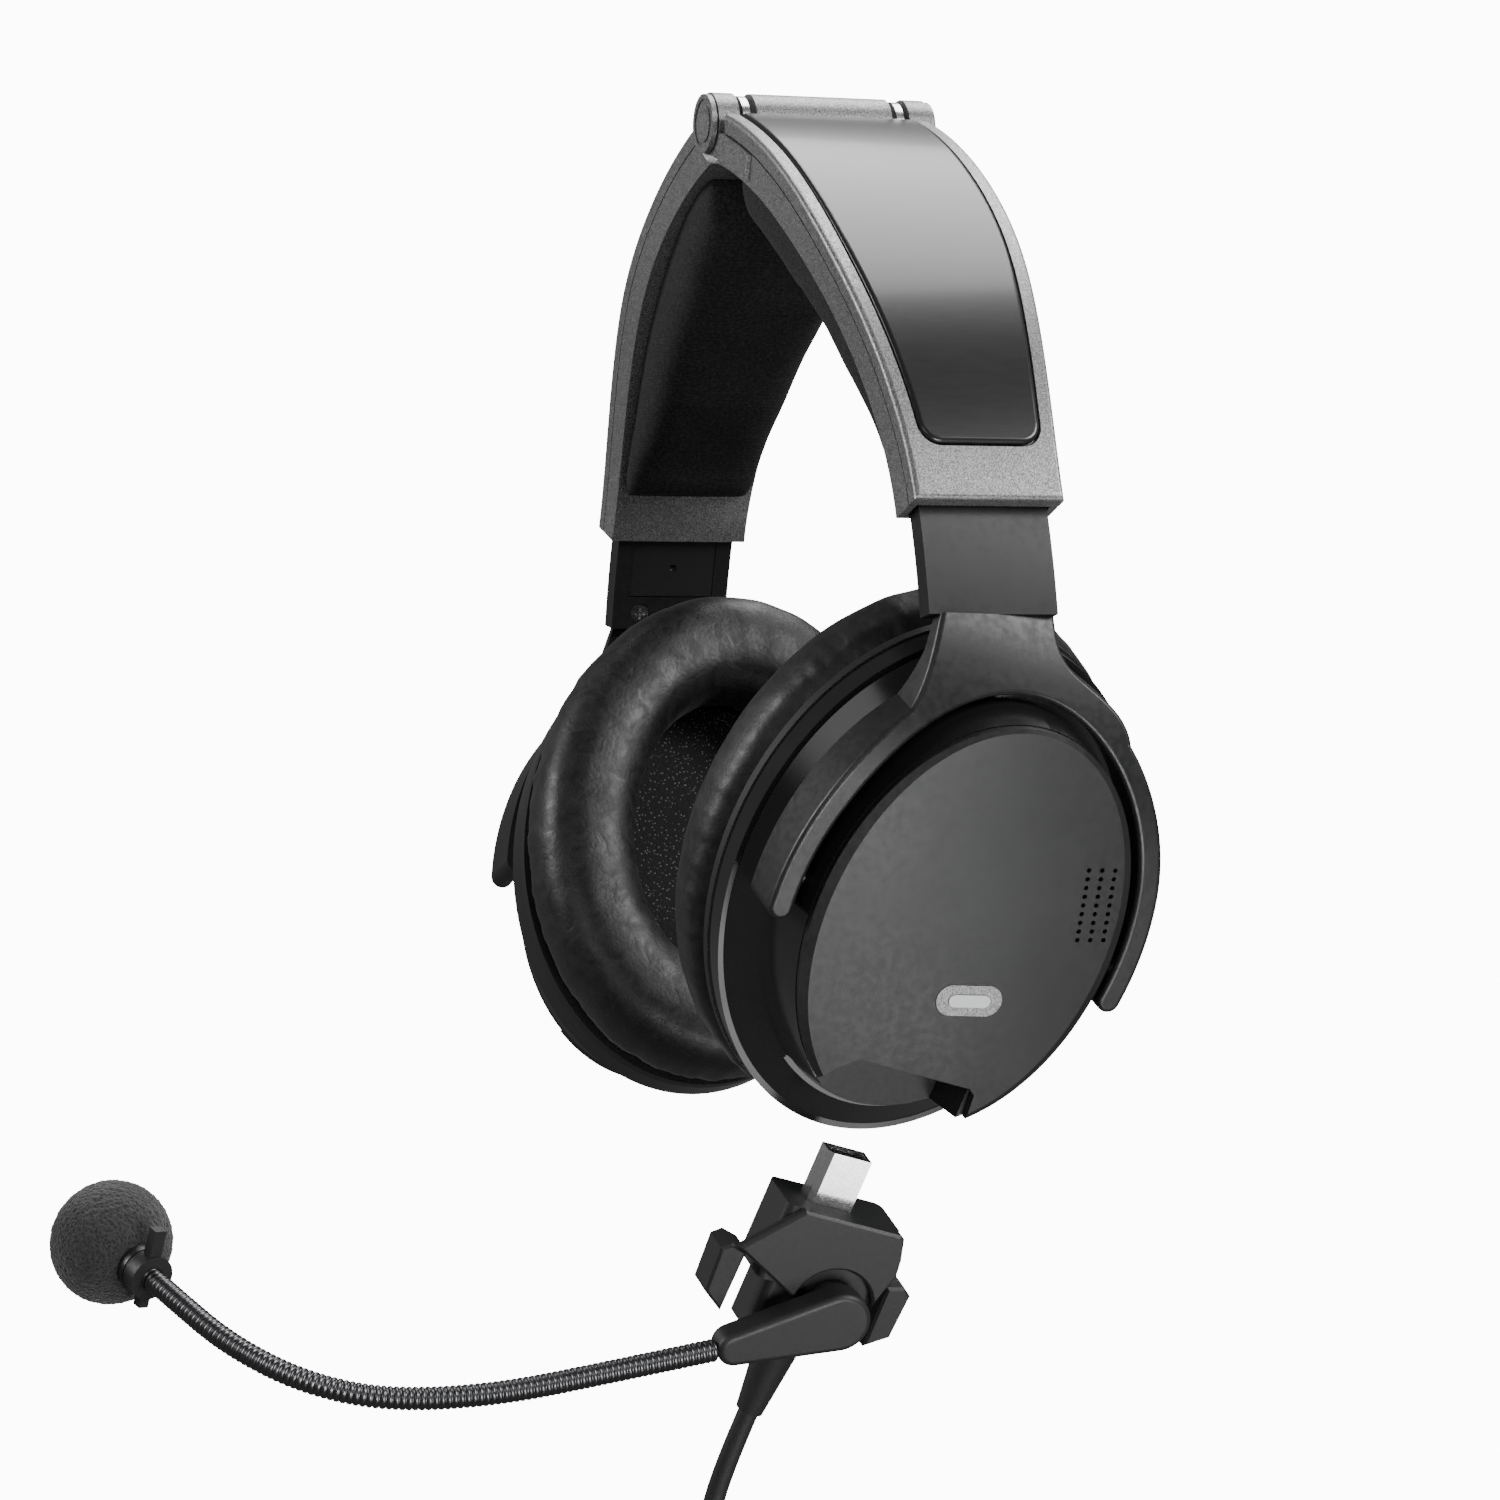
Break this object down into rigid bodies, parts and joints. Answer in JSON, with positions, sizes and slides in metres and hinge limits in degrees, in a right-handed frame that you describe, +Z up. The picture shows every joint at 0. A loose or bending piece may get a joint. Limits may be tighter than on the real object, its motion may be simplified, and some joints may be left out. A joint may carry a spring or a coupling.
{
  "type": "aviation headset",
  "caption": "Over-ear aviation headset: hinged arc headband, sliding forks, pivoting oval ear cups, and an unplugged boom microphone and cable module below the near cup.",
  "frame": {"origin": "centre of the head space, midway between the two ear cups, where the wearer's head is", "axes": "+X the wearer's left, -Y the wearer's forward, +Z up; the headband hinge runs along Y"},
  "size_m": [0.1966, 0.1923, 0.3839],
  "materials": {
    "shell_silver": "fine metallic fleck satin",
    "inlay_black": "fine brushed gloss",
    "plate_black": "satin",
    "housing_gloss": "gloss",
    "ear_leather": "soft protein leather",
    "pad_fabric": "ribbed weave",
    "scrim_cloth": "speckled mesh",
    "bright_metal": "polished",
    "slider_steel": "satin",
    "gunmetal": "ribbed satin",
    "foam_black": "open sponge foam",
    "module_black": "fine matte",
    "rubber_black": "matte",
    "cable_jacket": "matte jacket",
    "speaker_grey": "matte",
    "light_bar": "diffuse"
  },
  "bodies": {
    "hinge": {"hinge_pin": "slider_steel", "hinge_collars": "bright_metal", "hinge_caps": "shell_silver"},
    "left_arm": {"left_arm_shell": "shell_silver", "left_arm_panel": "inlay_black", "left_arm_frame": "shell_silver", "left_head_pad": "pad_fabric"},
    "left_slider": {"left_slider": "plate_black", "left_slider_cover": "module_black", "left_slider_screws": "bright_metal", "left_yoke": "plate_black", "left_yoke_pivots": "slider_steel"},
    "left_cup": {"left_ear_cushion": "ear_leather", "left_cushion_ring": "module_black", "left_bezel_ring": "housing_gloss", "left_housing": "housing_gloss", "left_faceplate": "plate_black", "left_vent_mesh": "speaker_grey", "left_baffle": "speaker_grey", "left_driver": "speaker_grey", "left_scrim": "scrim_cloth", "left_socket": "module_black", "button_bezel": "shell_silver"},
    "right_arm": {"right_arm_shell": "shell_silver", "right_arm_panel": "inlay_black", "right_arm_frame": "shell_silver", "right_head_pad": "pad_fabric"},
    "right_slider": {"right_slider": "plate_black", "right_slider_cover": "module_black", "right_slider_screws": "bright_metal", "right_yoke": "plate_black", "right_yoke_pivots": "slider_steel"},
    "right_cup": {"right_ear_cushion": "ear_leather", "right_cushion_ring": "module_black", "right_bezel_ring": "housing_gloss", "right_housing": "housing_gloss", "right_faceplate": "plate_black", "right_vent_mesh": "speaker_grey", "right_baffle": "speaker_grey", "right_driver": "speaker_grey", "right_scrim": "scrim_cloth", "right_socket_cover": "module_black"},
    "button": {"button_key": "light_bar"},
    "mic_module": {"module_front": "module_black", "module_body": "module_black", "module_plug": "bright_metal", "strain_relief": "rubber_black", "cable_lead": "cable_jacket", "cable_coil": "cable_jacket", "cable_tail": "cable_jacket", "coil_tie": "rubber_black", "connector_shell": "slider_steel", "connector_pins": "bright_metal"},
    "latch_front": {"latch_front": "module_black"},
    "latch_rear": {"latch_rear": "module_black"},
    "boom": {"boom_elbow": "module_black", "gooseneck": "gunmetal", "mic_clip": "module_black", "mic_capsule": "slider_steel", "windscreen": "foam_black"}
  },
  "joints": [
    {"name": "fold_left", "type": "hinge", "parent": "hinge", "child": "left_arm", "pos_m": [0, 0, 0.1389], "axis": [0, 1, 0], "range_deg": [-11, 5.5]},
    {"name": "fold_right", "type": "hinge", "parent": "hinge", "child": "right_arm", "pos_m": [0, 0, 0.1389], "axis": [0, 1, 0], "range_deg": [-5.5, 11]},
    {"name": "slide_left", "type": "hinge", "parent": "left_arm", "child": "left_slider", "pos_m": [-0.027, 0, 0.0228], "axis": [0, 1, 0], "range_deg": [-7, 7]},
    {"name": "slide_right", "type": "hinge", "parent": "right_arm", "child": "right_slider", "pos_m": [0.027, 0, 0.0228], "axis": [0, -1, 0], "range_deg": [-7, 7]},
    {"name": "pivot_left", "type": "hinge", "parent": "left_slider", "child": "left_cup", "pos_m": [0.07565, -0.00323, -0.01164], "axis": [0.072, -0.9611, 0.2667], "range_deg": [-1.5, 15]},
    {"name": "pivot_right", "type": "hinge", "parent": "right_slider", "child": "right_cup", "pos_m": [-0.07565, -0.00323, -0.01164], "axis": [0.072, 0.9611, -0.2667], "range_deg": [-1.5, 15]},
    {"name": "button_press", "type": "slide", "parent": "left_cup", "child": "button", "axis": [-0.9332, 0.0295, 0.358], "range_m": [0, 0.0005], "stiffness_N_per_m": 300},
    {"name": "module_plug_in", "type": "slide", "parent": "left_cup", "child": "mic_module", "axis": [0.3549, 0.2308, 0.906], "range_m": [0, 0.03]},
    {"name": "latch_front_squeeze", "type": "hinge", "parent": "mic_module", "child": "latch_front", "pos_m": [0.0551, -0.0368, -0.07081], "axis": [0.9332, -0.0295, -0.358], "range_deg": [0, 8], "stiffness_Nm_per_rad": 0.05},
    {"name": "latch_rear_squeeze", "type": "hinge", "parent": "mic_module", "child": "latch_rear", "pos_m": [0.0528, -0.00604, -0.07934], "axis": [-0.9332, 0.0295, 0.358], "range_deg": [0, 8], "stiffness_Nm_per_rad": 0.05},
    {"name": "boom_swing", "type": "hinge", "parent": "mic_module", "child": "boom", "pos_m": [0.059, -0.01886, -0.08445], "axis": [0.9332, -0.0295, -0.358], "range_deg": [-50, 25]}
  ],
  "couplings": [
    {"joint": "fold_right", "follows": "fold_left", "ratio": -1}
  ]
}
